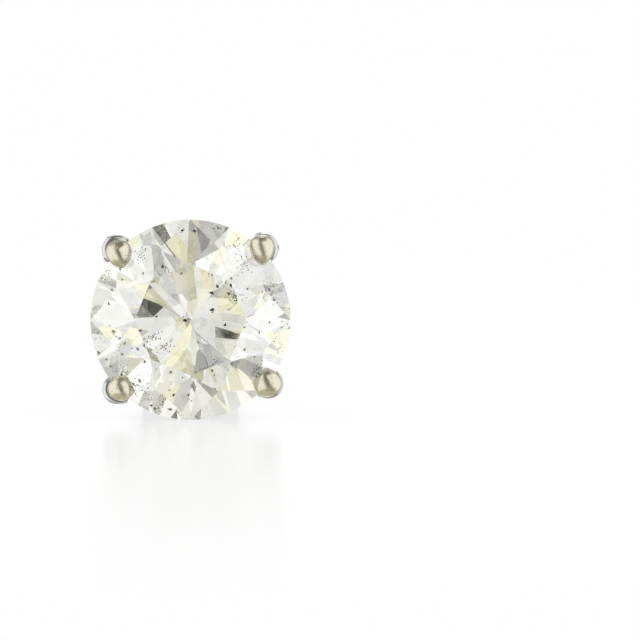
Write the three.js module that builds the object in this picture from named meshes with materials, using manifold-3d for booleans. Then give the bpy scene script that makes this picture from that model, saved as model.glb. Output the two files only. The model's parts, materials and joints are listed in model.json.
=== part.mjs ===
// A stud earring: a round brilliant-cut stone held by four prongs of a cast basket, an ear post soldered
// to the basket's base, and a butterfly back pushed onto the post. Millimetres, +Z up, the stone's face
// towards -Y. It rests on the stone's girdle and on the back's lower curl, so its face looks a few degrees
// upwards.
import * as THREE from "three";
import { mergeVertices } from "three/addons/utils/BufferGeometryUtils.js";
import Module from "manifold-3d";

const wasm = await Module();
wasm.setup();

// The stone's cut. The table's share is of the diameter, the stars' of the way from the table to the girdle,
// and the lower halves' of the way from the girdle to the middle.
const stoneDiameter = 8.0;
const tableShare = 0.555;
const crownSlope = 33.86;
const starShare = 0.563;
const girdleThickness = 0.28;
const pavilionSlope = 40.48;
const lowerHalfShare = 0.784;
const culetWidth = 0.1;
const girdleSides = 96;

// How far the facets of each of the eight sectors were ground off their ideal slopes, and off their places
// around the stone (Turn), in degrees. The first sector is at the right of the face, and they run
// anticlockwise. A sector's two upper halves are off by the same, one up and one down.
const crownErrors = [
  { bezel: -0.18, bezelTurn: -0.92, star: 0.98, upper: 0.59 },
  { bezel: -0.9, bezelTurn: -1.2, star: -1.19, upper: 0.59 },
  { bezel: -0.11, bezelTurn: 0.93, star: -1.09, upper: -0.8 },
  { bezel: -0.42, bezelTurn: 0.08, star: 0.48, upper: 0.2 },
  { bezel: -0.04, bezelTurn: -0.86, star: 1.2, upper: 0.17 },
  { bezel: 0.35, bezelTurn: -0.98, star: 0.94, upper: 0.07 },
  { bezel: 0.36, bezelTurn: -0.64, star: -1.1, upper: -0.3 },
  { bezel: 0.74, bezelTurn: 0.71, star: 0.83, upper: 0.31 },
];

// The same for the pavilion: its mains, and the two lower halves on either side of a sector's half-way line.
const pavilionErrors = [
  { main: -0.12, mainTurn: -2.2, first: -0.01, firstTurn: -0.16, second: -0.8, secondTurn: 0.02 },
  { main: 0.01, mainTurn: 0.86, first: -0.45, firstTurn: -0.27, second: 0.16, secondTurn: -2.24 },
  { main: -0.3, mainTurn: -0.65, first: -0.67, firstTurn: 0.71, second: -0.51, secondTurn: 0.18 },
  { main: -0.19, mainTurn: 1.33, first: 0.14, firstTurn: -0.36, second: -0.3, secondTurn: 0.11 },
  { main: 0.05, mainTurn: -0.05, first: 0.54, firstTurn: -1.4, second: 0.23, secondTurn: 1.24 },
  { main: -0.39, mainTurn: -2.15, first: 0.69, firstTurn: -1.7, second: -0.8, secondTurn: -0.48 },
  { main: 0.4, mainTurn: -0.11, first: 0.27, firstTurn: 0.09, second: -0.15, secondTurn: 0.31 },
  { main: 0.12, mainTurn: -2.2, first: -0.8, firstTurn: 0.0, second: 0.64, secondTurn: -0.34 },
];

// The four prongs. tipInset is how far inside the girdle's radius a tip's middle lies, and tipTurn turns the
// tip's length away from the radius.
const prongTable = [
  { place: "upper right", azimuth: 44.4, tipInset: -0.03, tipWidth: 1.02, tipLength: 1.26, tipTurn: 45 },
  { place: "upper left", azimuth: 136.4, tipInset: 0.08, tipWidth: 1.12, tipLength: 1.3, tipTurn: -28 },
  { place: "lower left", azimuth: 223.5, tipInset: 0.13, tipWidth: 1.16, tipLength: 1.2, tipTurn: 20 },
  { place: "lower right", azimuth: 320.7, tipInset: 0.05, tipWidth: 1.14, tipLength: 1.2, tipTurn: -30 },
];
const prongWireDiameter = 1.2;
const prongFlare = 0.5; // how far outside the girdle the prongs' curve aims
const prongElbowDrop = 1.5; // the height of that aim below the girdle's middle
const prongTipRise = 0.32; // a tip's centre above the girdle's middle
const prongTipHeight = 1.04;
const prongFootSink = 0.25; // into the base
const prongSides = 14;
const prongSteps = 16;

// The basket's round rails. A rail's station is its place along the prongs, from 0 at their feet to 1 at
// their tips, and it is set in from their middles.
const rails = [
  { name: "lower rail", station: 0.21, inset: 0.15, wireDiameter: 0.72 },
  { name: "upper rail", station: 0.5, inset: 0.28, wireDiameter: 0.8 },
];
const railSides = 10;
const railSteps = 56;

// The basket's base, and the post soldered to it.
const baseDiameter = 3.9;
const baseThickness = 0.75;
const baseChamfer = 0.18;
const culetRoom = 0.45; // from the culet to the base
const postDiameter = 0.9;
const postLength = 10.5;
const postTipRounding = 0.3;
const postGrooveDepth = 0.09;
const postGrooveWidth = 0.5;
const postGrooveFromTip = 1.2;
const roundSteps = 40;
const postSides = 20;

// The butterfly back: a round pad, and a strip that curls back at both ends to grip the post.
const earGap = 6.0; // from the base to the pad
const padDiameter = 5.2;
const stripWidth = 4.0;
const stripThickness = 0.4;
const curlRadius = 1.25; // of the strip's middle, where a curl starts
const curlGap = 0.12; // between a curl's turns
const curlSweep = 430;
const curlSteps = 34;

const seatClearance = 0.03; // between the stone and the metal
const gripClearance = 0.03; // between the post and the back

const rad = THREE.MathUtils.degToRad;
const sectorAngle = 360 / crownErrors.length;
const girdleRadius = stoneDiameter / 2;
const halfGirdle = girdleThickness / 2;
const tan = (degrees) => Math.tan(rad(degrees));
const cos = (degrees) => Math.cos(rad(degrees));
const slopeOf = (rise, run) => THREE.MathUtils.radToDeg(Math.atan2(rise, run));

// The stone's own heights and reaches, from its middle, with its face up along Z.
const tableCorner = girdleRadius * tableShare;
const tableEdge = tableCorner * cos(sectorAngle / 2);
const tableTop = halfGirdle + (girdleRadius - tableCorner) * tan(crownSlope);
const starEnd = tableEdge + starShare * (girdleRadius - tableEdge);
const starEndRise = (girdleRadius - starEnd * cos(sectorAngle / 2)) * tan(crownSlope);
const lowerHalfEnd = girdleRadius * (1 - lowerHalfShare);
const lowerHalfDrop = (girdleRadius - lowerHalfEnd * cos(sectorAngle / 2)) * tan(pavilionSlope);
const chordShare = cos(sectorAngle / 4);
const culetDrop = halfGirdle + (girdleRadius - culetWidth / 2) * tan(pavilionSlope);
const baseTop = -culetDrop - culetRoom;
const baseBack = baseTop - baseThickness;

// A closed geometry as a solid, and a solid as a geometry with flat faces.
function solidOf(geometry) {
  const bare = geometry.index ? geometry.toNonIndexed() : geometry.clone();
  bare.deleteAttribute("normal");
  bare.deleteAttribute("uv");
  const merged = mergeVertices(bare, 1e-5);
  const vertProperties = merged.attributes.position.array;
  return new wasm.Manifold(new wasm.Mesh({ numProp: 3, vertProperties, triVerts: merged.index.array }));
}

function geometryOf(solid) {
  const mesh = solid.getMesh();
  const geometry = new THREE.BufferGeometry();
  geometry.setAttribute("position", new THREE.BufferAttribute(mesh.vertProperties, 3));
  geometry.setIndex(new THREE.BufferAttribute(mesh.triVerts, 1));
  const flat = geometry.toNonIndexed();
  flat.computeVertexNormals();
  return flat;
}

const joined = (solids) => solids.reduce((all, solid) => all.add(solid));
const upright = (geometry) => geometry.rotateX(Math.PI / 2);

// A block whose flat face lies where a lap grinds a facet: it faces azimuth, slopes down to the girdle and
// passes through the point at that reach and height, but stands off by grow. Side is 1 for the crown and -1
// for the pavilion.
function lap(azimuth, slope, reach, height, side, grow) {
  const size = 4 * stoneDiameter;
  const block = new THREE.BoxGeometry(size, size, size).translate(0, 0, size / 2);
  const away = new THREE.Vector3(
    Math.sin(rad(slope)) * cos(azimuth),
    Math.sin(rad(slope)) * Math.sin(rad(azimuth)),
    side * cos(slope),
  );
  const through = new THREE.Vector3(reach * cos(azimuth), reach * Math.sin(rad(azimuth)), side * height);
  block.applyQuaternion(new THREE.Quaternion().setFromUnitVectors(new THREE.Vector3(0, 0, 1), away));
  const offset = away.clone().multiplyScalar(away.dot(through) + grow);
  return solidOf(block.translate(offset.x, offset.y, offset.z));
}

// The laps of one sector's crown: the bezel, the star and the two upper halves beside its half-way line.
function crownLaps(error, azimuth, grow) {
  const starSlope = slopeOf(tableTop - halfGirdle - starEndRise, starEnd - tableEdge);
  const upperSlope = slopeOf(starEndRise, (girdleRadius - starEnd) * chordShare);
  const half = (turn, slope) => lap(azimuth + turn, slope, girdleRadius * chordShare, halfGirdle, 1, grow);
  return [
    lap(azimuth + error.bezelTurn, crownSlope + error.bezel, girdleRadius, halfGirdle, 1, grow),
    lap(azimuth + sectorAngle / 2, starSlope + error.star, tableEdge, tableTop, 1, grow),
    half(sectorAngle / 4, upperSlope + error.upper),
    half((3 * sectorAngle) / 4, upperSlope - error.upper),
  ];
}

// The laps of one sector's pavilion: the main and the two lower halves beside its half-way line.
function pavilionLaps(error, azimuth, grow) {
  const lowerSlope = slopeOf(lowerHalfDrop, (girdleRadius - lowerHalfEnd) * chordShare);
  const half = (turn, slope) => lap(azimuth + turn, slope, girdleRadius * chordShare, halfGirdle, -1, grow);
  return [
    lap(azimuth + error.mainTurn, pavilionSlope + error.main, girdleRadius, halfGirdle, -1, grow),
    half(sectorAngle / 4 + error.firstTurn, lowerSlope + error.first),
    half((3 * sectorAngle) / 4 + error.secondTurn, lowerSlope + error.second),
  ];
}

// The brilliant, ground out of a round blank. Grow moves every face outwards, for the seat in the prongs.
function brilliant(grow) {
  const blank = upright(
    new THREE.CylinderGeometry(girdleRadius + grow, girdleRadius + grow, 3 * stoneDiameter, girdleSides),
  );
  const crown = crownErrors.flatMap((error, sector) => crownLaps(error, sector * sectorAngle, grow));
  const pavilion = pavilionErrors.flatMap((error, sector) => pavilionLaps(error, sector * sectorAngle, grow));
  const table = lap(0, 0, 0, tableTop, 1, grow);
  const culet = lap(0, 0, 0, culetDrop, -1, grow);
  return [table, culet, ...crown, ...pavilion].reduce((stone, ground) => stone.subtract(ground), solidOf(blank));
}

// The curve that a prong's middle follows at azimuth 0, from its foot in the base to its tip on the stone.
function prongCurve(tipInset) {
  const foot = new THREE.Vector3((baseDiameter - prongWireDiameter) / 2, 0, baseTop - prongFootSink);
  const elbow = new THREE.Vector3(girdleRadius + prongFlare, 0, -prongElbowDrop);
  const tip = new THREE.Vector3(girdleRadius - tipInset, 0, prongTipRise);
  return new THREE.QuadraticBezierCurve3(foot, elbow, tip);
}

// A closed ring of points for a round wire's section.
function wireSection(diameter, sides) {
  const ring = Array.from({ length: sides }, (_, side) => {
    const angle = (side / sides) * 2 * Math.PI;
    return new THREE.Vector2((Math.cos(angle) * diameter) / 2, (Math.sin(angle) * diameter) / 2);
  });
  return new THREE.Shape(ring);
}

// One prong: a bent wire whose end is burnished to a bead.
function prong({ azimuth, tipInset, tipWidth, tipLength, tipTurn }) {
  const curve = prongCurve(tipInset);
  const wire = new THREE.ExtrudeGeometry(wireSection(prongWireDiameter, prongSides), {
    steps: prongSteps,
    extrudePath: curve,
    bevelEnabled: false,
  });
  const bead = upright(new THREE.SphereGeometry(0.5, prongSides, prongSides / 2))
    .scale(tipLength, tipWidth, prongTipHeight)
    .rotateZ(rad(tipTurn))
    .translate(curve.v2.x, 0, curve.v2.z);
  return [wire, bead].map((geometry) => solidOf(geometry.rotateZ(rad(azimuth))));
}

// A rail of the basket, inside the prongs at its station.
function rail({ station, inset, wireDiameter }) {
  const centre = prongCurve(0).getPoint(station);
  const ring = new THREE.TorusGeometry(centre.x - inset, wireDiameter / 2, railSides, railSteps);
  return solidOf(ring.translate(0, 0, centre.z));
}

// A solid turned from a profile of [radius, height] points, lowest first, that starts and ends on the axis.
function turned(profile, steps) {
  const points = profile.map(([radius, height]) => new THREE.Vector2(radius, height));
  return solidOf(upright(new THREE.LatheGeometry(points, steps)));
}

function base() {
  const radius = baseDiameter / 2;
  return turned(
    [
      [0, baseBack],
      [radius - baseChamfer, baseBack],
      [radius, baseBack + baseChamfer],
      [radius, baseTop - baseChamfer],
      [radius - baseChamfer, baseTop],
      [0, baseTop],
    ],
    roundSteps,
  );
}

// The ear post, from inside the base to its rounded tip, with the groove that a back clicks into.
function post() {
  const radius = postDiameter / 2;
  const end = baseBack - postLength;
  const groove = end + postGrooveFromTip;
  const flat = radius - postTipRounding;
  const tip = [0, 30, 60, 90].map((turn) => [
    flat + postTipRounding * Math.sin(rad(turn)),
    end + postTipRounding * (1 - cos(turn)),
  ]);
  return turned(
    [
      [0, end],
      ...tip,
      [radius, groove],
      [radius - postGrooveDepth, groove + postGrooveWidth / 4],
      [radius - postGrooveDepth, groove + (postGrooveWidth * 3) / 4],
      [radius, groove + postGrooveWidth],
      [radius, baseBack + baseThickness / 2],
      [0, baseBack + baseThickness / 2],
    ],
    postSides,
  );
}

// Everything soldered together, with the stone's seat cut into the prongs.
function setting() {
  const metal = joined([...prongTable.flatMap(prong), ...rails.map(rail), base(), post()]);
  return metal.subtract(brilliant(seatClearance));
}

// The radius of a curl's middle line, which tightens by the strip and a gap in each turn.
function curlReach(turn) {
  return curlRadius - ((stripThickness + curlGap) * turn) / 360;
}

// Half of the bent strip's outline, from the post's axis to the end of its curl.
function stripOutline() {
  const padMiddle = -stripThickness / 2;
  const curlMiddle = postDiameter / 2 + gripClearance + stripThickness / 2 + curlReach(270);
  const side = (offset) => {
    const curl = Array.from({ length: curlSteps + 1 }, (_, step) => {
      const turn = (step / curlSteps) * curlSweep;
      const reach = curlReach(turn) + offset;
      return new THREE.Vector2(
        curlMiddle + reach * Math.sin(rad(turn)),
        padMiddle - curlRadius + reach * cos(turn),
      );
    });
    return [new THREE.Vector2(0, padMiddle + offset), ...curl];
  };
  const outside = side(stripThickness / 2);
  const inside = side(-stripThickness / 2);
  return new THREE.Shape([...outside, ...inside.reverse()]);
}

// The butterfly back, with its pad's front face at height 0 and its curls one above the other along Y.
function earBack() {
  const half = new THREE.ExtrudeGeometry(stripOutline(), { depth: stripWidth, bevelEnabled: false })
    .translate(0, 0, -stripWidth / 2)
    .rotateX(Math.PI / 2)
    .rotateZ(Math.PI / 2);
  const otherHalf = half.clone().rotateZ(Math.PI);
  const pad = upright(
    new THREE.CylinderGeometry(padDiameter / 2, padDiameter / 2, stripThickness, roundSteps),
  ).translate(0, 0, -stripThickness / 2);
  const bore = upright(
    new THREE.CylinderGeometry(
      postDiameter / 2 + gripClearance,
      postDiameter / 2 + gripClearance,
      postLength,
      postSides,
    ),
  );
  return joined([half, otherHalf, pad].map(solidOf)).subtract(solidOf(bore));
}

// The lowest height of some geometries once their face is leaned back by this angle from upright.
function lowest(geometries, lean) {
  const heights = geometries.flatMap(({ attributes: { position } }) =>
    Array.from(
      { length: position.count },
      (_, index) => position.getY(index) * cos(lean) + position.getZ(index) * Math.sin(rad(lean)),
    ),
  );
  return heights.reduce((low, height) => Math.min(low, height), Infinity);
}

// The lean at which the front and the rear touch the ground together.
function restingLean(front, rear) {
  let [low, high] = [-45, 45];
  while (high - low > 1e-4) {
    const lean = (low + high) / 2;
    if (lowest(front, lean) < lowest(rear, lean)) low = lean;
    else high = lean;
  }
  return (low + high) / 2;
}

const diamondLook = new THREE.MeshStandardMaterial({ color: 0xf4f3e6, roughness: 0.02, metalness: 0 });
const goldLook = new THREE.MeshStandardMaterial({ color: 0xc9c0a4, roughness: 0.25, metalness: 1 });

function piece(name, solid, look, height = 0) {
  const mesh = new THREE.Mesh(geometryOf(solid).translate(0, 0, height), look);
  mesh.name = name;
  return mesh;
}

const diamond = piece("diamond", brilliant(0), diamondLook);
const basketWithPost = piece("basket_with_post", setting(), goldLook);
const butterflyBack = piece("butterfly_back", earBack(), goldLook, baseBack - earGap);

const lean = restingLean([diamond.geometry, basketWithPost.geometry], [butterflyBack.geometry]);
const stud = new THREE.Group();
stud.add(diamond, basketWithPost, butterflyBack);
stud.rotation.x = rad(90 - lean);

// The origin is on the ground, under the middle of the stud.
const extent = new THREE.Box3().setFromObject(stud, true);
const middle = extent.getCenter(new THREE.Vector3());
stud.position.set(-middle.x, -middle.y, -extent.min.z);

const earring = new THREE.Group();
earring.add(stud);
export default earring;
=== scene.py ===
import json
import math
import random

import bmesh
import bpy
from mathutils import Matrix, Vector, noise
from mathutils.bvhtree import BVHTree


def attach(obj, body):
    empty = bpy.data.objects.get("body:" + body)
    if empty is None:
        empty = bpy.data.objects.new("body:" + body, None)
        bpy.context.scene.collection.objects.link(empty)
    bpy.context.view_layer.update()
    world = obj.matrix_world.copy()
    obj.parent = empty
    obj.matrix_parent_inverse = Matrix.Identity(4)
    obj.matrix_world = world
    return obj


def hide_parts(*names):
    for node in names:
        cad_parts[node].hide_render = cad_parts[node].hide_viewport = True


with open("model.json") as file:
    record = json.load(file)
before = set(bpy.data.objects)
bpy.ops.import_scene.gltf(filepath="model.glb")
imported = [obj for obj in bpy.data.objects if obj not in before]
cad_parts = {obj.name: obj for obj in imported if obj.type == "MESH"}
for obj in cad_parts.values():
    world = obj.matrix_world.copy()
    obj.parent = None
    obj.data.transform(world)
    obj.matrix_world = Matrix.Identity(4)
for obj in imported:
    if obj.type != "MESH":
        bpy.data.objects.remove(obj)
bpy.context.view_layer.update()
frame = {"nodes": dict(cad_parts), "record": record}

# Lengths are in millimetres in the stud's own frame, and in metres in the row's frame. In the stud's frame
# X is to the right of its face, Y up the face and Z out of it, with the origin in the middle of the girdle.
MM = 0.001

girdle_radius = 4.0

# The four prongs. inset is how far inside the girdle's radius the wire's tip lies. A bead has its own place,
# size and turn, which is its length's angle in the view from the front, and its surface swells (out) or is
# filed flat (in) around the given directions: angle in the view, rise towards the viewer, spread and height.
# burrs are the angles around the wire at which the filed seat left chips.
prong_table = {
    "upper_right": {
        "azimuth": 44.4, "inset": -0.03, "bead_azimuth": 44.7, "bead_inset": -0.02,
        "width": 1.0, "length": 1.2, "turn": 89, "burrs": (106, 8, 147),
        "bumps": ((-88, 0, 34, 0.06), (100, 10, 40, -0.04), (195, 5, 40, -0.05)),
    },
    "upper_left": {
        "azimuth": 136.4, "inset": 0.0, "bead_azimuth": 137.2, "bead_inset": 0.12,
        "width": 1.02, "length": 1.16, "turn": 108, "burrs": (125, 40, 225),
        "bumps": ((-74, 0, 30, 0.09), (115, 35, 38, -0.1), (10, 10, 45, 0.03)),
    },
    "lower_left": {
        "azimuth": 223.5, "inset": 0.05, "bead_azimuth": 224.1, "bead_inset": 0.13,
        "width": 1.0, "length": 1.06, "turn": 243, "burrs": (139, -55),
        "bumps": ((-18, 0, 26, 0.13), (25, 20, 30, -0.05), (95, 10, 30, -0.05)),
    },
    "lower_right": {
        "azimuth": 320.7, "inset": 0.05, "bead_azimuth": 321.0, "bead_inset": 0.05,
        "width": 1.12, "length": 1.16, "turn": 290, "burrs": (225, 46),
        "bumps": ((140, 5, 34, -0.12), (180, 0, 20, 0.06), (95, 0, 20, 0.05)),
    },
}
bead_height = 1.06
bead_rise = 0.4
bead_taper = 0.16  # how much wider the blunt end is than the middle, as a share
# The beads' lumps and dents: height as a share of the bead, how often, and the shift from bead to bead.
bead_skin = [
    (0.014, 3.1, (7.3, 0, 0)),
    (0.004, 13, (0, 5.1, 0)),
]
prong_diameter = 1.2
prong_flare = 0.5
prong_elbow_drop = 1.5
prong_foot_sink = 0.25
wire_end = 0.885  # the station at which a prong's wire ends beside its bead
wire_shoulder = 0.16  # the rounding of that end
# A burr's chips: how large each may be and how far off, along the wire's radius, around it and up, and how far
# the burr's middle lies above the wire's end and inside its surface.
chips = 3
chip_sizes = ((0.07, 0.13), (0.1, 0.2), (0.1, 0.2))
chip_spread = ((-0.02, 0.03), (-0.1, 0.1), (-0.06, 0.06))
burr_lift = 0.05
burr_sink = 0.03

# The basket's rails, at their stations along the prongs.
rail_table = [
    {"station": 0.21, "inset": 0.15, "wire": 0.72},
    {"station": 0.5, "inset": 0.28, "wire": 0.8},
]
base_diameter = 3.9
base_thickness = 0.75
base_edge = 0.18
base_back = -4.711

# The ear post, with a groove near its rounded end and a fillet of solder at its foot.
post_diameter = 0.9
post_length = 10.5
post_tip = 0.3
post_fillet = 0.12
groove_from_end = 1.2
groove_length = 0.5
groove_depth = 0.09

# The butterfly back.
ear_gap = 6.0
pad_diameter = 5.2
pad_edge = 0.14
strip_width = 4.0
strip_thickness = 0.4
curl_radius = 1.25
curl_gap = 0.12
curl_sweep = 430
curl_steps = 90
curl_trim = 0.012  # a curl rounder than the CAD's, which has fewer corners, would reach past it
grip_clearance = 0.03
seat_clearance = 0.03

pinhole = 0.02  # the radius at which a turned shape's ends begin
sharp_edge = math.radians(35)

# What lies inside the stone, just under its crown: single crystals (x, y, size and kind), and clouds of fine
# grains and flakes, mostly beside the prongs.
crystal_table = [
    (-0.32, 3.53, 0.14, "bluish"),
    (0.17, 3.51, 0.12, "grey"),
    (-1.09, 2.08, 0.17, "bluish"),
    (-0.35, 1.86, 0.09, "dark"),
    (1.07, 1.34, 0.13, "dark"),
    (0.85, 1.07, 0.14, "dark"),
    (1.52, 1.05, 0.13, "dark"),
    (0.87, 0.41, 0.15, "dark"),
    (-0.22, -0.02, 0.18, "dark"),
    (1.37, -0.20, 0.12, "dark"),
    (-1.36, 0.14, 0.09, "dark"),
    (-3.50, 1.64, 0.10, "grey"),
    (1.59, 1.62, 0.12, "grey"),
    (-1.85, 1.83, 0.10, "dark"),
    (-1.98, -0.41, 0.11, "dark"),
    (2.11, -1.16, 0.13, "dark"),
    (3.31, -0.53, 0.06, "bluish"),
    (3.29, -0.85, 0.09, "bluish"),
    (1.62, -1.71, 0.09, "dark"),
    (0.85, -1.98, 0.12, "grey"),
    (-1.78, -1.62, 0.14, "grey"),
    (-3.14, -1.81, 0.12, "dark"),
    (-1.10, -3.21, 0.09, "grey"),
    (-0.49, -3.65, 0.07, "grey"),
    (-2.77, 1.99, 0.10, "dark"),
    (3.09, 1.20, 0.14, "dark"),
    (3.29, 0.80, 0.14, "dark"),
]
cloud_table = [
    {"x": 2.05, "y": 2.19, "wide": 0.60, "tall": 0.82, "grains": 34},
    {"x": 3.15, "y": 1.26, "wide": 0.60, "tall": 1.16, "grains": 40},
    {"x": 1.91, "y": 3.09, "wide": 0.60, "tall": 0.60, "grains": 22},
    {"x": -2.03, "y": 2.63, "wide": 0.52, "tall": 0.64, "grains": 34},
    {"x": -3.29, "y": 1.81, "wide": 0.32, "tall": 0.52, "grains": 16},
    {"x": -2.73, "y": -1.95, "wide": 0.64, "tall": 0.40, "grains": 22},
    {"x": -2.13, "y": -2.57, "wide": 0.48, "tall": 0.92, "grains": 40},
    {"x": 2.67, "y": -1.99, "wide": 0.44, "tall": 0.72, "grains": 30},
    {"x": -1.32, "y": -3.73, "wide": 0.36, "tall": 0.20, "grains": 14},
    {"x": 1.10, "y": 3.63, "wide": 0.32, "tall": 0.16, "grains": 10},
    {"x": 3.53, "y": -1.06, "wide": 0.40, "tall": 0.44, "grains": 18},
    {"x": 1.87, "y": 0.90, "wide": 0.44, "tall": 0.36, "grains": 14},
]
# Each kind's share of a cloud's grains, its darkest and lightest colour, its roughness and its grains'
# thickness as a share of their size.
inclusion_kinds = {
    "dark": (0.15, (0.012, 0.011, 0.01), (0.06, 0.05, 0.03), 0.35, 0.7),
    "bluish": (0.05, (0.02, 0.07, 0.09), (0.1, 0.2, 0.2), 0.3, 0.7),
    "grey": (0.5, (0.16, 0.16, 0.16), (0.5, 0.5, 0.48), 0.4, 0.7),
    "feather": (0.6, (0.75, 0.75, 0.75), (0.95, 0.95, 0.95), 0.25, 0.12),
}
crystal_depth = 0.1  # from the crown's surface to the crystal's
crystal_shape = (0.75, 0.6)  # its width and thickness as shares of its size
# The smaller ones beside a crystal: how far off and how large, as shares of its size, and their depth.
specks = 3
speck_off = (0.5, 0.9)
speck_size = (0.2, 0.4)
speck_shape = (0.7, 0.6)
speck_depth = 0.12
# A cloud's grains: how they spread, as a share of the cloud's size, and their depth, size and length.
cloud_spread = 0.28
grain_depth = (0.04, 0.2)
grain_size = (0.02, 0.05)
grain_length = 1.6
girdle_margin = 0.12  # no grain lies nearer to the girdle


def polar(radius, azimuth, height=0.0):
    angle = math.radians(azimuth)
    return Vector((radius * math.cos(angle), radius * math.sin(angle), height))


# The stud's frame, from the girdle's outermost points and the direction of the ear post.
def stud_frame():
    points = [vertex.co for vertex in frame["nodes"]["diamond"].data.vertices]
    reach = max(point.x for point in points)
    rim = [point for point in points if point.x > 0.999 * reach]
    spans = [(min(point[axis] for point in rim), max(point[axis] for point in rim)) for axis in range(3)]
    middle = Vector([sum(span) / 2 for span in spans])
    middle.x = 0.0
    seat = next(mount for mount in frame["record"]["mounts"] if mount["name"] == "ear_front_seat")
    facing = -Vector(seat["axis"]).normalized()
    right = Vector((1, 0, 0))
    turn = Matrix((right, facing.cross(right), facing)).transposed().to_4x4()
    return Matrix.Translation(middle) @ turn, facing


stud_place, facing = stud_frame()


# A new object in the row's frame, from a bmesh in the stud's frame in millimetres.
def piece(name, mesh_bm, material, smooth_angle=sharp_edge):
    mesh = bpy.data.meshes.new(name)
    mesh_bm.transform(stud_place @ Matrix.Scale(MM, 4))
    mesh_bm.normal_update()
    mesh_bm.to_mesh(mesh)
    mesh_bm.free()
    made = bpy.data.objects.new(name, mesh)
    bpy.context.scene.collection.objects.link(made)
    mesh.materials.append(material)
    mesh.shade_smooth()
    mesh.set_sharp_from_angle(angle=smooth_angle)
    return made


# A closed tube through rings of points, with flat ends.
def skin(rings):
    made = bmesh.new()
    rows = [[made.verts.new(point) for point in ring] for ring in rings]
    sides = len(rows[0])
    for row, after in zip(rows, rows[1:]):
        for side in range(sides):
            last = (side + 1) % sides
            made.faces.new((row[side], row[last], after[last], after[side]))
    made.faces.new(list(reversed(rows[0])))
    made.faces.new(rows[-1])
    bmesh.ops.recalc_face_normals(made, faces=made.faces)
    return made


# A solid turned from a profile of (radius, height) points, given from one end to the other.
def turned(profile, sides):
    turns = [360 * side / sides for side in range(sides)]
    return skin([[polar(radius, turn, height) for turn in turns] for radius, height in profile])


# A profile corner rounded by an arc, as (radius, height) points around its middle.
def arc(radius_at, height_at, radius, start, end, steps=6):
    angles = [math.radians(start + (end - start) * step / steps) for step in range(steps + 1)]
    return [(radius_at + radius * math.cos(angle), height_at + radius * math.sin(angle)) for angle in angles]


# A disc with a rounded rim.
def disc(diameter, bottom, thickness, edge):
    inner = diameter / 2 - edge
    profile = [
        (pinhole, bottom),
        *arc(inner, bottom + edge, edge, -90, 0),
        *arc(inner, bottom + thickness - edge, edge, 0, 90),
        (pinhole, bottom + thickness),
    ]
    return turned(profile, 96)


# The prongs' middle line at azimuth 0, in (radius, height), by its station from 0 to 1.
def prong_line(station, inset):
    foot = Vector(((base_diameter - prong_diameter) / 2, base_back + base_thickness - prong_foot_sink))
    elbow = Vector((girdle_radius + prong_flare, -prong_elbow_drop))
    tip = Vector((girdle_radius - inset, bead_rise))
    rest = 1 - station
    return foot * rest**2 + elbow * 2 * rest * station + tip * station**2


# A ring around a point of the prongs' plane, square to the direction along.
def wire_ring(here, along, radius, azimuth, sides=48):
    turn = Matrix.Rotation(math.radians(azimuth), 4, "Z")
    across = Vector((along.y, 0, -along.x))
    aside = Vector((0, 1, 0))
    middle = Vector((here.x, 0, here.y))
    ring = []
    for side in range(sides):
        angle = 2 * math.pi * side / sides
        way = across * math.cos(angle) + aside * math.sin(angle)
        ring.append(turn @ (middle + way * radius))
    return ring


def prong_wire(prong, steps=44):
    radius = prong_diameter / 2
    rings = []
    for step in range(steps + 1):
        station = wire_end * step / steps
        here = prong_line(station, prong["inset"])
        along = (prong_line(station + 0.001, prong["inset"]) - here).normalized()
        rings.append(wire_ring(here, along, radius, prong["azimuth"]))
    # The rounded shoulder that shows as a rim around the bead.
    for degrees in range(12, 91, 13):
        angle = math.radians(degrees)
        past = here + along * wire_shoulder * math.sin(angle)
        rings.append(wire_ring(past, along, radius - wire_shoulder * (1 - math.cos(angle)), prong["azimuth"]))
    return skin(rings)


# A bead burnished over the stone: an egg with its blunt end outwards, with swellings, filed places, lumps
# and dents.
def bead(prong, seed):
    made = bmesh.new()
    bmesh.ops.create_icosphere(made, subdivisions=6, radius=0.5)
    turn = Matrix.Rotation(math.radians(prong["turn"]), 4, "Z")
    bumps = []
    for angle, rise, spread, height in prong["bumps"]:
        out = polar(math.cos(math.radians(rise)), angle, math.sin(math.radians(rise)))
        bumps.append((turn.inverted() @ out, math.cos(math.radians(spread)), height))
    for vertex in made.verts:
        point = vertex.co.copy()
        way = point.normalized()
        swell = 0.0
        for high, often, shift in bead_skin:
            swell += high * noise.noise(point * often + Vector([seed * part for part in shift]))
        for out, edge, height in bumps:
            share = max(0.0, (way.dot(out) - edge) / (1 - edge))
            swell += height * share * share * (3 - 2 * share)
        point.y *= 1 + bead_taper * point.x / 0.5
        vertex.co = point * (1 + swell)
    shape = Matrix.Diagonal((prong["length"], prong["width"], bead_height, 1))
    middle = polar(girdle_radius - prong["bead_inset"], prong["bead_azimuth"], bead_rise)
    made.transform(Matrix.Translation(middle) @ turn @ shape)
    return made


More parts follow.
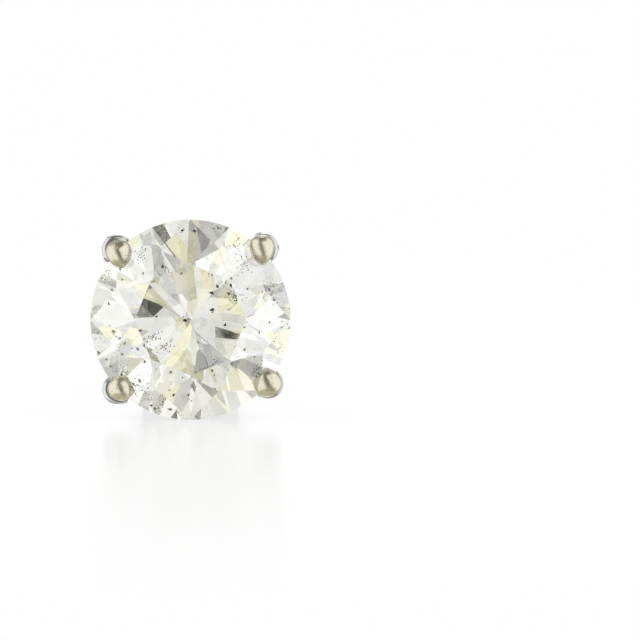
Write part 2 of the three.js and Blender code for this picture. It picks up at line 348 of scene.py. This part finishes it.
# A few small chips left where the seat for the girdle was filed, beside a bead.
def burr(prong, angle, seed):
    made = bmesh.new()
    chance = random.Random(100 * seed + angle)
    wire = prong_line(wire_end, prong["inset"])
    middle = polar(wire.x, prong["azimuth"], wire.y + burr_lift) + polar(prong_diameter / 2 - burr_sink, angle)
    for _ in range(chips):
        grain = bmesh.ops.create_icosphere(made, subdivisions=2, radius=0.5)["verts"]
        sizes = [chance.uniform(low, high) for low, high in chip_sizes]
        off = Vector([chance.uniform(low, high) for low, high in chip_spread])
        shift = Vector((seed * 3.7, angle, off.y * 40))
        for vertex in grain:
            lump = vertex.co * (1 + 0.45 * noise.noise(vertex.co * 2.2 + shift))
            vertex.co = Vector([size * part for size, part in zip(sizes, lump)]) + off
    made.transform(Matrix.Translation(middle) @ Matrix.Rotation(math.radians(angle), 4, "Z"))
    return made


def rail(row, rings=160, sides=28):
    centre = prong_line(row["station"], 0)
    wire_radius = row["wire"] / 2
    made = bmesh.new()
    rows = []
    for ring in range(rings):
        points = []
        for side in range(sides):
            angle = 2 * math.pi * side / sides
            reach = centre.x - row["inset"] + wire_radius * math.cos(angle)
            height = centre.y + wire_radius * math.sin(angle)
            points.append(made.verts.new(polar(reach, 360 * ring / rings, height)))
        rows.append(points)
    for here, ahead in zip(rows, rows[1:] + rows[:1]):
        for side in range(sides):
            after = (side + 1) % sides
            made.faces.new((here[side], ahead[side], ahead[after], here[after]))
    bmesh.ops.recalc_face_normals(made, faces=made.faces)
    return made


def post():
    radius = post_diameter / 2
    end = base_back - post_length
    groove = end + groove_from_end
    dips = [(math.sin(math.pi * step / 10), step / 10) for step in range(1, 10)]
    profile = [
        (pinhole, end),
        *arc(radius - post_tip, end + post_tip, post_tip, -90, 0),
        (radius, groove),
        *[(radius - groove_depth * dip, groove + groove_length * along) for dip, along in dips],
        (radius, groove + groove_length),
        (radius, base_back - post_fillet),
        *arc(radius + post_fillet, base_back - post_fillet, post_fillet, 165, 90, 5),
        (radius + post_fillet, base_back + base_thickness / 2),
        (pinhole, base_back + base_thickness / 2),
    ]
    return turned(profile, 48)


# The radius of a curl's middle line after turning so far.
def curl_reach(turn):
    return curl_radius - (strip_thickness + curl_gap) * turn / 360


def strip_half(sign):
    pad_middle = base_back - ear_gap - strip_thickness / 2
    curl_middle = post_diameter / 2 + grip_clearance + strip_thickness / 2 + curl_reach(270)

    def side(offset):
        points = [(0.0, pad_middle + offset)]
        for step in range(curl_steps + 1):
            turn = curl_sweep * step / curl_steps
            reach = curl_reach(turn) + offset
            across = curl_middle + reach * math.sin(math.radians(turn))
            points.append((across, pad_middle - curl_radius + reach * math.cos(math.radians(turn))))
        return points

    outline = side(strip_thickness / 2 - curl_trim) + side(-strip_thickness / 2)[::-1]
    made = bmesh.new()
    ends = []
    for x in (-strip_width / 2, strip_width / 2):
        ends.append([made.verts.new((x, sign * across, height)) for across, height in outline])
    count = len(outline)
    for point in range(count):
        after = (point + 1) % count
        made.faces.new((ends[0][point], ends[0][after], ends[1][after], ends[1][point]))
    # The strip's two flat sides, each a row of quads between its outer and its inner line.
    for end in ends:
        for point in range(count // 2 - 1):
            made.faces.new((end[point], end[point + 1], end[count - 2 - point], end[count - 1 - point]))
    bmesh.ops.recalc_face_normals(made, faces=made.faces)
    return made


def bore():
    radius = post_diameter / 2 + grip_clearance
    return turned([(radius, base_back - post_length), (radius, base_back - ear_gap / 2)], 48)


def combine(kept, other, operation):
    modifier = kept.modifiers.new("combine", "BOOLEAN")
    modifier.operation = operation
    modifier.solver = "MANIFOLD"
    modifier.object = other
    bpy.context.view_layer.objects.active = kept
    bpy.ops.object.modifier_apply(modifier=modifier.name)
    bpy.data.objects.remove(other)


# One object from several bmeshes, joined into one skin, and cut by another object.
def joined(name, parts, material, cutter):
    made = [piece(f"{name}_{number}", part, material) for number, part in enumerate(parts)]
    first = made[0]
    for other in made[1:]:
        combine(first, other, "UNION")
    combine(first, cutter, "DIFFERENCE")
    first.name = name
    first.data.name = name
    first.data.set_sharp_from_angle(angle=sharp_edge)
    return first


# The stone's own shape in the stud's frame.
def stone_shape():
    made = bmesh.new()
    made.from_mesh(frame["nodes"]["diamond"].data)
    bmesh.ops.remove_doubles(made, verts=made.verts, dist=1e-7)
    made.transform((stud_place @ Matrix.Scale(MM, 4)).inverted())
    return made


# The stone, grown by the seat's clearance, as a cutter.
def stone_cutter(material):
    made = stone_shape()
    made.transform(Matrix.Scale(1 + seat_clearance / girdle_radius, 4))
    return piece("stone_cutter", made, material)


# One angular grain inside the stone, at a depth under the crown at (x, y).
def add_grain(made, tree, chance, x, y, depth, sizes, subdivisions):
    top = tree.ray_cast(Vector((x, y, 10)), Vector((0, 0, -1)))[0]
    grain = bmesh.ops.create_icosphere(made, subdivisions=subdivisions, radius=0.5)["verts"]
    shift = Vector([chance.uniform(-9, 9) for _ in range(3)])
    angle = chance.uniform(0, math.tau)
    axis = Vector([chance.gauss(0, 1) for _ in range(3)]).normalized()
    turn = Matrix.Rotation(angle, 4, axis)
    place = Matrix.Translation((x, y, top.z - depth)) @ turn @ Matrix.Diagonal((*sizes, 1))
    for vertex in grain:
        vertex.co = place @ (vertex.co * (1 + 0.7 * noise.noise(vertex.co * 2.7 + shift)))


# A crystal of the table, with its specks.
def add_crystal(made, tree, chance, x, y, size):
    sizes = (size, *[size * share for share in crystal_shape])
    add_grain(made, tree, chance, x, y, crystal_depth + size / 2, sizes, 3)
    for _ in range(specks):
        off = polar(size * chance.uniform(*speck_off), chance.uniform(0, 360))
        small = size * chance.uniform(*speck_size)
        sizes = (small, *[small * share for share in speck_shape])
        add_grain(made, tree, chance, x + off.x, y + off.y, speck_depth, sizes, 2)


# One kind's share of a cloud's grains, so that a cloud is mixed.
def add_cloud(made, tree, chance, cloud, share, thickness):
    for _ in range(cloud["grains"]):
        lot = chance.random()
        across, along = chance.gauss(0, cloud_spread), chance.gauss(0, cloud_spread)
        depth = chance.uniform(*grain_depth)
        size = chance.uniform(*grain_size)
        x = cloud["x"] + across * cloud["wide"]
        y = cloud["y"] + along * cloud["tall"]
        if lot <= share and math.hypot(x, y) <= girdle_radius - girdle_margin:
            add_grain(made, tree, chance, x, y, depth, (size * grain_length, size, size * thickness), 2)


def inclusions():
    tree = BVHTree.FromBMesh(stone_shape())
    chance = random.Random(11)
    for kind, (share, low, high, roughness, thickness) in inclusion_kinds.items():
        made = bmesh.new()
        for x, y, size, crystal in crystal_table:
            if crystal == kind:
                add_crystal(made, tree, chance, x, y, size)
        for cloud in cloud_table:
            add_cloud(made, tree, chance, cloud, share, thickness)
        material = inclusion_material(kind, low, high, roughness)
        grains = piece(f"{kind}_inclusions", made, material, math.radians(25))
        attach(grains, "root")


# A node tree, and short ways to add the nodes that come again and again.
class Nodes:
    def __init__(self, tree):
        self.tree = tree
        tree.nodes.clear()

    def add(self, kind, inputs=None, **settings):
        node = self.tree.nodes.new(kind)
        for key, value in settings.items():
            setattr(node, key, value)
        for key, value in (inputs or {}).items():
            if isinstance(value, bpy.types.NodeSocket):
                self.tree.links.new(value, node.inputs[key])
            else:
                node.inputs[key].default_value = value
        return node

    def math(self, operation, *values):
        return self.add("ShaderNodeMath", dict(enumerate(values)), operation=operation).outputs[0]

    def dot(self, vector, other):
        inputs = {0: vector, 1: tuple(other)}
        return self.add("ShaderNodeVectorMath", inputs, operation="DOT_PRODUCT").outputs["Value"]

    def ranged(self, value, start, end, to_start=0.0, to_end=1.0, kind="LINEAR"):
        inputs = {"Value": value, "From Min": start, "From Max": end, "To Min": to_start, "To Max": to_end}
        return self.add("ShaderNodeMapRange", inputs, interpolation_type=kind).outputs["Result"]

    def mix(self, factor, first, second, blend="MIX"):
        inputs = {"Factor": factor, "A": first, "B": second}
        return self.add("ShaderNodeMix", inputs, data_type="RGBA", blend_type=blend).outputs["Result"]

    def noise(self, place, scale, detail, roughness=0.5):
        inputs = {"Vector": place, "Scale": scale, "Detail": detail, "Roughness": roughness}
        return self.add("ShaderNodeTexNoise", inputs).outputs["Fac"]

    def bump(self, height, strength, distance):
        inputs = {"Height": height, "Strength": strength, "Distance": distance}
        return self.add("ShaderNodeBump", inputs).outputs["Normal"]

    def place(self, kind="Object"):
        return self.add("ShaderNodeTexCoord").outputs[kind]

    def principled(self, inputs, **others):
        surface = self.add("ShaderNodeBsdfPrincipled", inputs).outputs["BSDF"]
        self.add("ShaderNodeOutputMaterial", {"Surface": surface, **others})


def new_material(name):
    material = bpy.data.materials.new(name)
    material.use_nodes = True
    return material, Nodes(material.node_tree)


def inclusion_material(kind, low, high, roughness):
    material, nodes = new_material(f"inclusion_{kind}")
    grain = nodes.noise(nodes.place(), 30000.0, 3.0)
    nodes.principled({
        "Base Color": nodes.mix(grain, (*low, 1), (*high, 1)),
        "Roughness": roughness,
        "Normal": nodes.bump(grain, 0.4, 0.002 * MM),
    })
    return material


# The metal's colours: worn white gold between two shades, its rhodium plating, and the darker colour laid into
# its pits and scratches.
gold_low = (0.62, 0.585, 0.45, 1)
gold_high = (0.78, 0.735, 0.6, 1)
rhodium = (0.63, 0.63, 0.643, 1)
mark_dark_colour = (0.3, 0.27, 0.2, 1)
# Its fine scratches: how each set of lines is turned, in degrees, and how often it varies in a metre.
scratch_table = [
    ((20, 35, 60), (900, 14000, 14000)),
    ((70, -20, 10), (14000, 700, 14000)),
]
# How often its tints, pits and ripples vary in a metre.
tint_scale = 1500.0
pit_scale = 5200.0
ripple_scale = 3600.0
pitless_share = 0.55  # of the pits' cells
bead_roughness = (0.2, 0.34)
plating_roughness = -0.11  # added to it where the plating is whole
plating_marks = -0.7  # and to the strength of the marks there


# White gold: polished and rhodium plated, and on the beads, where the plating is worn off, warm and marked by
# burnishing, with cloudy tints, long fine scratches and a few pits.
def gold_material():
    material, nodes = new_material("white_gold_burnished")
    place = nodes.place()
    clouds = nodes.noise(place, tint_scale, 5.0, 0.6)
    # 1 on the wires and 0 on the beads, with a ragged edge between.
    ragged = nodes.math("MULTIPLY_ADD", clouds, 0.15 * MM, nodes.dot(place, facing))
    bead_foot = facing.dot(stud_place.translation) + bead_rise * MM
    plated = nodes.ranged(ragged, bead_foot - 0.02 * MM, bead_foot + 0.1 * MM, 1.0, 0.0)

    heights = []
    for angles, stretch in scratch_table:
        turn = [math.radians(angle) for angle in angles]
        turned_place = nodes.add("ShaderNodeMapping", {"Vector": place, "Rotation": turn, "Scale": stretch})
        heights.append(nodes.ranged(nodes.noise(turned_place.outputs["Vector"], 1.0, 3.0), 0.6, 0.72))
    scratches = nodes.math("ADD", *heights)
    cells = nodes.add("ShaderNodeTexVoronoi", {"Vector": place, "Scale": pit_scale}, feature="F1")
    pit = nodes.ranged(cells.outputs["Distance"], 0.08, 0.26, 2.2, 0.0)
    # Only some of the cells have a pit.
    lot = nodes.add("ShaderNodeSeparateColor", {"Color": cells.outputs["Color"]}).outputs["Red"]
    marks = nodes.math("MULTIPLY_ADD", pit, nodes.math("GREATER_THAN", lot, pitless_share), scratches)
    marks = nodes.math("MULTIPLY", marks, nodes.math("MULTIPLY_ADD", plated, plating_marks, 1.0))
    height = nodes.math("MULTIPLY_ADD", marks, -0.35, nodes.noise(place, ripple_scale, 2.0))

    rough = nodes.ranged(clouds, 0.3, 0.7, *bead_roughness)
    rough = nodes.math("MULTIPLY_ADD", plated, plating_roughness, rough)
    tint = nodes.mix(plated, nodes.mix(clouds, gold_low, gold_high), rhodium)
    nodes.principled({
        # The base colour is darkened along the pits and scratches by their depth, and less where the plating
        # is whole.
        "Base Color": nodes.mix(nodes.math("MULTIPLY", marks, 0.3), tint, mark_dark_colour),
        "Metallic": 1.0,
        "Roughness": rough,
        "Normal": nodes.bump(height, 0.5, 0.01 * MM),
    })
    return material


diamond_index = 2.417
diamond_surface = (1.0, 0.997, 0.98, 1)
diamond_depth = (0.97, 0.93, 0.5, 1)
girdle_roughness = 0.16
worn_roughness = 0.005
wear_scale = 2500.0  # how often the wear varies in a metre


# The stone: clear with a breath of yellow, its facets a touch worn in places and its girdle bruted.
def diamond_material():
    material, nodes = new_material("diamond_faint_yellow")
    normal = nodes.add("ShaderNodeNewGeometry").outputs["True Normal"]
    girdle = nodes.ranged(nodes.math("ABSOLUTE", nodes.dot(normal, facing)), 0.02, 0.1, girdle_roughness, 0.0)
    worn = nodes.ranged(nodes.noise(nodes.place(), wear_scale, 6.0, 0.7), 0.62, 0.8, 0.0, worn_roughness)
    absorption = nodes.add("ShaderNodeVolumeAbsorption", {"Color": diamond_depth, "Density": 6.0})
    inputs = {
        "Base Color": diamond_surface,
        "Roughness": nodes.math("ADD", girdle, worn),
        "IOR": diamond_index,
        "Transmission Weight": 1.0,
    }
    nodes.principled(inputs, Volume=absorption.outputs["Volume"])
    return material


floor_radius = 3.0
polished_from, polished_to = 0.015, 0.06  # metres from the stud
polish_share = 0.15
floor_glow = 1.06
floor_glow_loss = -0.03  # where it is polished


# The stage: a white floor with a faint gloss, as the photograph's retouched one, so only the camera sees it.
# All else sees the tent go on below the floor's level.
def floor():
    material, nodes = new_material("pale_floor")
    away = nodes.add("ShaderNodeVectorMath", {0: nodes.place()}, operation="LENGTH").outputs["Value"]
    # Near the stud the floor is polished, and farther off it is only white.
    near = nodes.ranged(away, polished_from, polished_to, 1.0, 0.0, "SMOOTHSTEP")
    polish = nodes.math("MULTIPLY", near, polish_share)
    bright = nodes.math("MULTIPLY_ADD", near, floor_glow_loss, floor_glow)
    shaded = nodes.add("ShaderNodeBsdfDiffuse", {"Color": (0.85, 0.85, 0.85, 1)})
    glow = nodes.add("ShaderNodeEmission", {"Color": (1, 1, 1, 1), "Strength": bright})
    white = nodes.add("ShaderNodeMixShader", {0: 0.85, 1: shaded.outputs[0], 2: glow.outputs[0]})
    glossy = nodes.add("ShaderNodeBsdfGlossy", {"Color": (1, 1, 1, 1), "Roughness": 0.15})
    both = nodes.add("ShaderNodeMixShader", {0: polish, 1: white.outputs[0], 2: glossy.outputs[0]})
    nodes.add("ShaderNodeOutputMaterial", {"Surface": both.outputs[0]})
    made = bmesh.new()
    bmesh.ops.create_circle(made, cap_ends=True, segments=64, radius=floor_radius)
    mesh = bpy.data.meshes.new("floor")
    made.to_mesh(mesh)
    made.free()
    mesh.materials.append(material)
    surface = bpy.data.objects.new("floor", mesh)
    surface.visible_diffuse = False
    surface.visible_glossy = False
    surface.visible_transmission = False
    surface.visible_shadow = False
    bpy.context.scene.collection.objects.link(surface)


# The tent's cards: where each one's middle is, in degrees to the right of straight ahead of the stud's face
# and above the level, how far it reaches to each side, how far it leans to the right with each degree up, how
# soft its edge is, and its colour. The metal and the stone are lit one after the other, as jewellery often
# is, so each has its own cards.
metal_cards = [
    {"right": 149, "up": 0, "wide": 21, "tall": 100, "lean": 0, "soft": 14, "colour": (0.5, 0.5, 0.5)},
    {"right": -149, "up": 0, "wide": 21, "tall": 100, "lean": 0, "soft": 14, "colour": (0.5, 0.5, 0.5)},
    {"right": 0, "up": 0, "wide": 24, "tall": 100, "lean": -0.5, "soft": 28, "colour": (0.22, 0.22, 0.19)},
    {"right": 0, "up": 90, "wide": 181, "tall": 30, "lean": 0, "soft": 16, "colour": (0.25, 0.24, 0.2)},
    {"right": 0, "up": -90, "wide": 181, "tall": 48, "lean": 0, "soft": 20, "colour": (0.62, 0.6, 0.48)},
    {"right": 50, "up": -50, "wide": 20, "tall": 13, "lean": 0, "soft": 22, "colour": (0.3, 0.28, 0.2)},
]
# For the stone, the cloth's folds: each wave's direction and how often it swings, its phase and its weight.
fold_table = [
    {"way": (-0.7, -4.6, 10.0), "phase": 0.19, "weight": 0.8},
    {"way": (9.0, -6.2, 0.7), "phase": 4.1, "weight": 0.37},
    {"way": (-9.6, 4.7, -3.0), "phase": 4.49, "weight": 0.41},
    {"way": (-7.5, -0.6, 12.0), "phase": 5.09, "weight": 0.66},
    {"way": (0.5, 6.6, -4.9), "phase": 0.11, "weight": 0.44},
    {"way": (2.4, 1.1, -5.7), "phase": 5.15, "weight": 0.21},
    {"way": (-6.4, 6.4, 17.3), "phase": 5.43, "weight": 0.28},
    {"way": (-24.0, 8.3, 20.0), "phase": 2.18, "weight": 0.45},
    {"way": (17.9, 22.6, 14.7), "phase": 3.35, "weight": 0.35},
    {"way": (22.1, 8.5, 9.2), "phase": 0.1, "weight": 0.56},
]
fold_dark = (0.56, 0.565, 0.57, 1)
fold_light = (1.165, 1.175, 1.18, 1)
fold_softness = 1.85
# Where the cloth mirrors the warm metal, as waves too, and its tint there.
warmth_table = [
    {"way": (-2.1, -0.3, -0.8), "phase": 3.29, "weight": 2.48},
    {"way": (-4.5, 13.3, 3.1), "phase": 4.52, "weight": 0.83},
    {"way": (4.8, 12.0, 9.0), "phase": 2.63, "weight": 1.65},
    {"way": (11.5, 14.7, -6.3), "phase": 1.96, "weight": 0.95},
]
warm_from, warm_to = 0.45, 0.95
warm_tint = (0.96, 0.93, 0.68, 1)
# The stone's cards are dark or bright reflectors, upright and with a crisp edge.
stone_cards = [
    {"right": -11, "up": -18, "wide": 5.7, "tall": 2.3, "colour": (0.02, 0.02, 0.019)},
    {"right": -25, "up": -2, "wide": 5.3, "tall": 7.4, "colour": (0.3, 0.3, 0.291)},
    {"right": -151, "up": 24, "wide": 3.6, "tall": 27.1, "colour": (0.15, 0.15, 0.145)},
    {"right": 168, "up": 30, "wide": 21.9, "tall": 4.6, "colour": (0.32, 0.32, 0.31)},
    {"right": -6, "up": -13, "wide": 2.0, "tall": 3.8, "colour": (0.33, 0.33, 0.32)},
    {"right": 17, "up": 51, "wide": 5.8, "tall": 16.6, "colour": (0.22, 0.22, 0.21)},
    {"right": -134, "up": 65, "wide": 7.3, "tall": 11.8, "colour": (1.94, 1.94, 1.882)},
    {"right": 7, "up": 41, "wide": 23.6, "tall": 2.0, "colour": (0.3, 0.3, 0.29)},
    {"right": -54, "up": -23, "wide": 5.0, "tall": 4.4, "colour": (1.6, 1.6, 1.552)},
    {"right": 18, "up": 15, "wide": 14.9, "tall": 2.0, "colour": (0.25, 0.25, 0.242)},
    {"right": 4, "up": 57, "wide": 27.3, "tall": 7.3, "colour": (0.93, 0.93, 0.902)},
    {"right": -52, "up": 68, "wide": 21.7, "tall": 11.7, "colour": (0.22, 0.22, 0.21)},
    {"right": 85, "up": 8, "wide": 7.6, "tall": 17.3, "colour": (0.21, 0.21, 0.204)},
]
upright_lean = 0
crisp_edge = 0.5
tent_colour = (1.25, 1.25, 1.25, 1)


def tent():
    world = bpy.data.worlds.new("tent")
    bpy.context.scene.world = world
    world.use_nodes = True
    nodes = Nodes(world.node_tree)
    direction = nodes.place("Generated")
    parts = nodes.add("ShaderNodeSeparateXYZ", {"Vector": direction}).outputs
    right = nodes.math("ARCTAN2", parts["X"], nodes.math("MULTIPLY", parts["Y"], -1.0))
    up = nodes.math("ARCSINE", parts["Z"])

    # A sum of waves over the directions.
    def waves(table):
        total = 0.0
        for wave in table:
            swing = nodes.math("SINE", nodes.math("ADD", nodes.dot(direction, wave["way"]), wave["phase"]))
            total = nodes.math("MULTIPLY_ADD", swing, wave["weight"], total)
        return total

    def folded():
        bright = nodes.ranged(waves(fold_table), -fold_softness, fold_softness, kind="SMOOTHSTEP")
        warm = nodes.ranged(waves(warmth_table), warm_from, warm_to, kind="SMOOTHSTEP")
        return nodes.mix(warm, nodes.mix(bright, fold_dark, fold_light), warm_tint, "MULTIPLY")

    # 1 within a card's reach of its middle, and 0 outside.
    def within(angle, middle, reach, soft):
        off = nodes.math("SUBTRACT", angle, math.radians(middle))
        away = nodes.math("ABSOLUTE", nodes.math("WRAP", off, -math.pi, math.pi))
        start, end = math.radians(reach - soft / 2), math.radians(reach + soft / 2)
        return nodes.ranged(away, start, end, 1.0, 0.0, "SMOOTHSTEP")

    def lit_by(cards, colour):
        for card in cards:
            soft = card.get("soft", crisp_edge)
            leaning = nodes.math("MULTIPLY_ADD", up, -card.get("lean", upright_lean), right)
            across = within(leaning, card["right"], card["wide"], soft)
            along = within(up, card["up"], card["tall"], soft)
            colour = nodes.mix(nodes.math("MULTIPLY", across, along), colour, (*card["colour"], 1))
        return colour

    path = nodes.add("ShaderNodeLightPath").outputs
    metal_light = lit_by(metal_cards, tent_colour)
    stone_light = lit_by(stone_cards, folded())
    lights = nodes.mix(path["Is Transmission Ray"], metal_light, stone_light)
    seen = nodes.mix(path["Is Camera Ray"], lights, tent_colour)
    background = nodes.add("ShaderNodeBackground", {"Color": seen, "Strength": 1.0})
    nodes.add("ShaderNodeOutputWorld", {"Surface": background.outputs[0]})


# Where the stone's middle is in the photograph and how wide the stone is there, in pixels of its 640.
photo_x = 190.5
stone_pixels = 200.0
frame_pixels = 640
lens = 300.0
sensor_width = 36.0


# The camera, on the stone's own axis, turned aside so that the stud stands where it does in the photograph.
def camera():
    data = bpy.data.cameras.new("camera")
    data.lens = lens
    data.sensor_width = sensor_width
    data.clip_start, data.clip_end = 0.01, 20
    made = bpy.data.objects.new("camera", data)
    bpy.context.scene.collection.objects.link(made)
    bpy.context.scene.camera = made
    focal_pixels = lens / sensor_width * frame_pixels
    distance = 2 * girdle_radius * MM * focal_pixels / stone_pixels
    made.location = stud_place.translation + facing * distance
    aside = math.atan((frame_pixels / 2 - photo_x) / focal_pixels)
    level = (-facing).to_track_quat("-Z", "Y")
    made.rotation_mode = "QUATERNION"
    made.rotation_quaternion = level @ Matrix.Rotation(-aside, 3, "Y").to_quaternion()


gold = gold_material()
frame["nodes"]["diamond"].material_slots[0].material = diamond_material()

metal_parts = []
for number, prong in enumerate(prong_table.values()):
    metal_parts += [prong_wire(prong), bead(prong, number)]
    metal_parts += [burr(prong, angle, number) for angle in prong["burrs"]]
metal_parts += [rail(row) for row in rail_table]
metal_parts += [disc(base_diameter, base_back, base_thickness, base_edge), post()]
basket = joined("basket_and_post", metal_parts, gold, stone_cutter(gold))
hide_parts("basket_with_post")
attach(basket, "root")

pad = disc(pad_diameter, base_back - ear_gap - strip_thickness, strip_thickness, pad_edge)
back = joined("friction_back", [strip_half(1), strip_half(-1), pad], gold, piece("bore", bore(), gold))
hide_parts("butterfly_back")
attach(back, "root")

inclusions()
floor()
tent()
camera()

scene = bpy.context.scene
scene.view_settings.view_transform = "Standard"
scene.cycles.max_bounces = 32
scene.cycles.glossy_bounces = 32
scene.cycles.transmission_bounces = 32
scene.cycles.caustics_reflective = False
scene.cycles.caustics_refractive = False
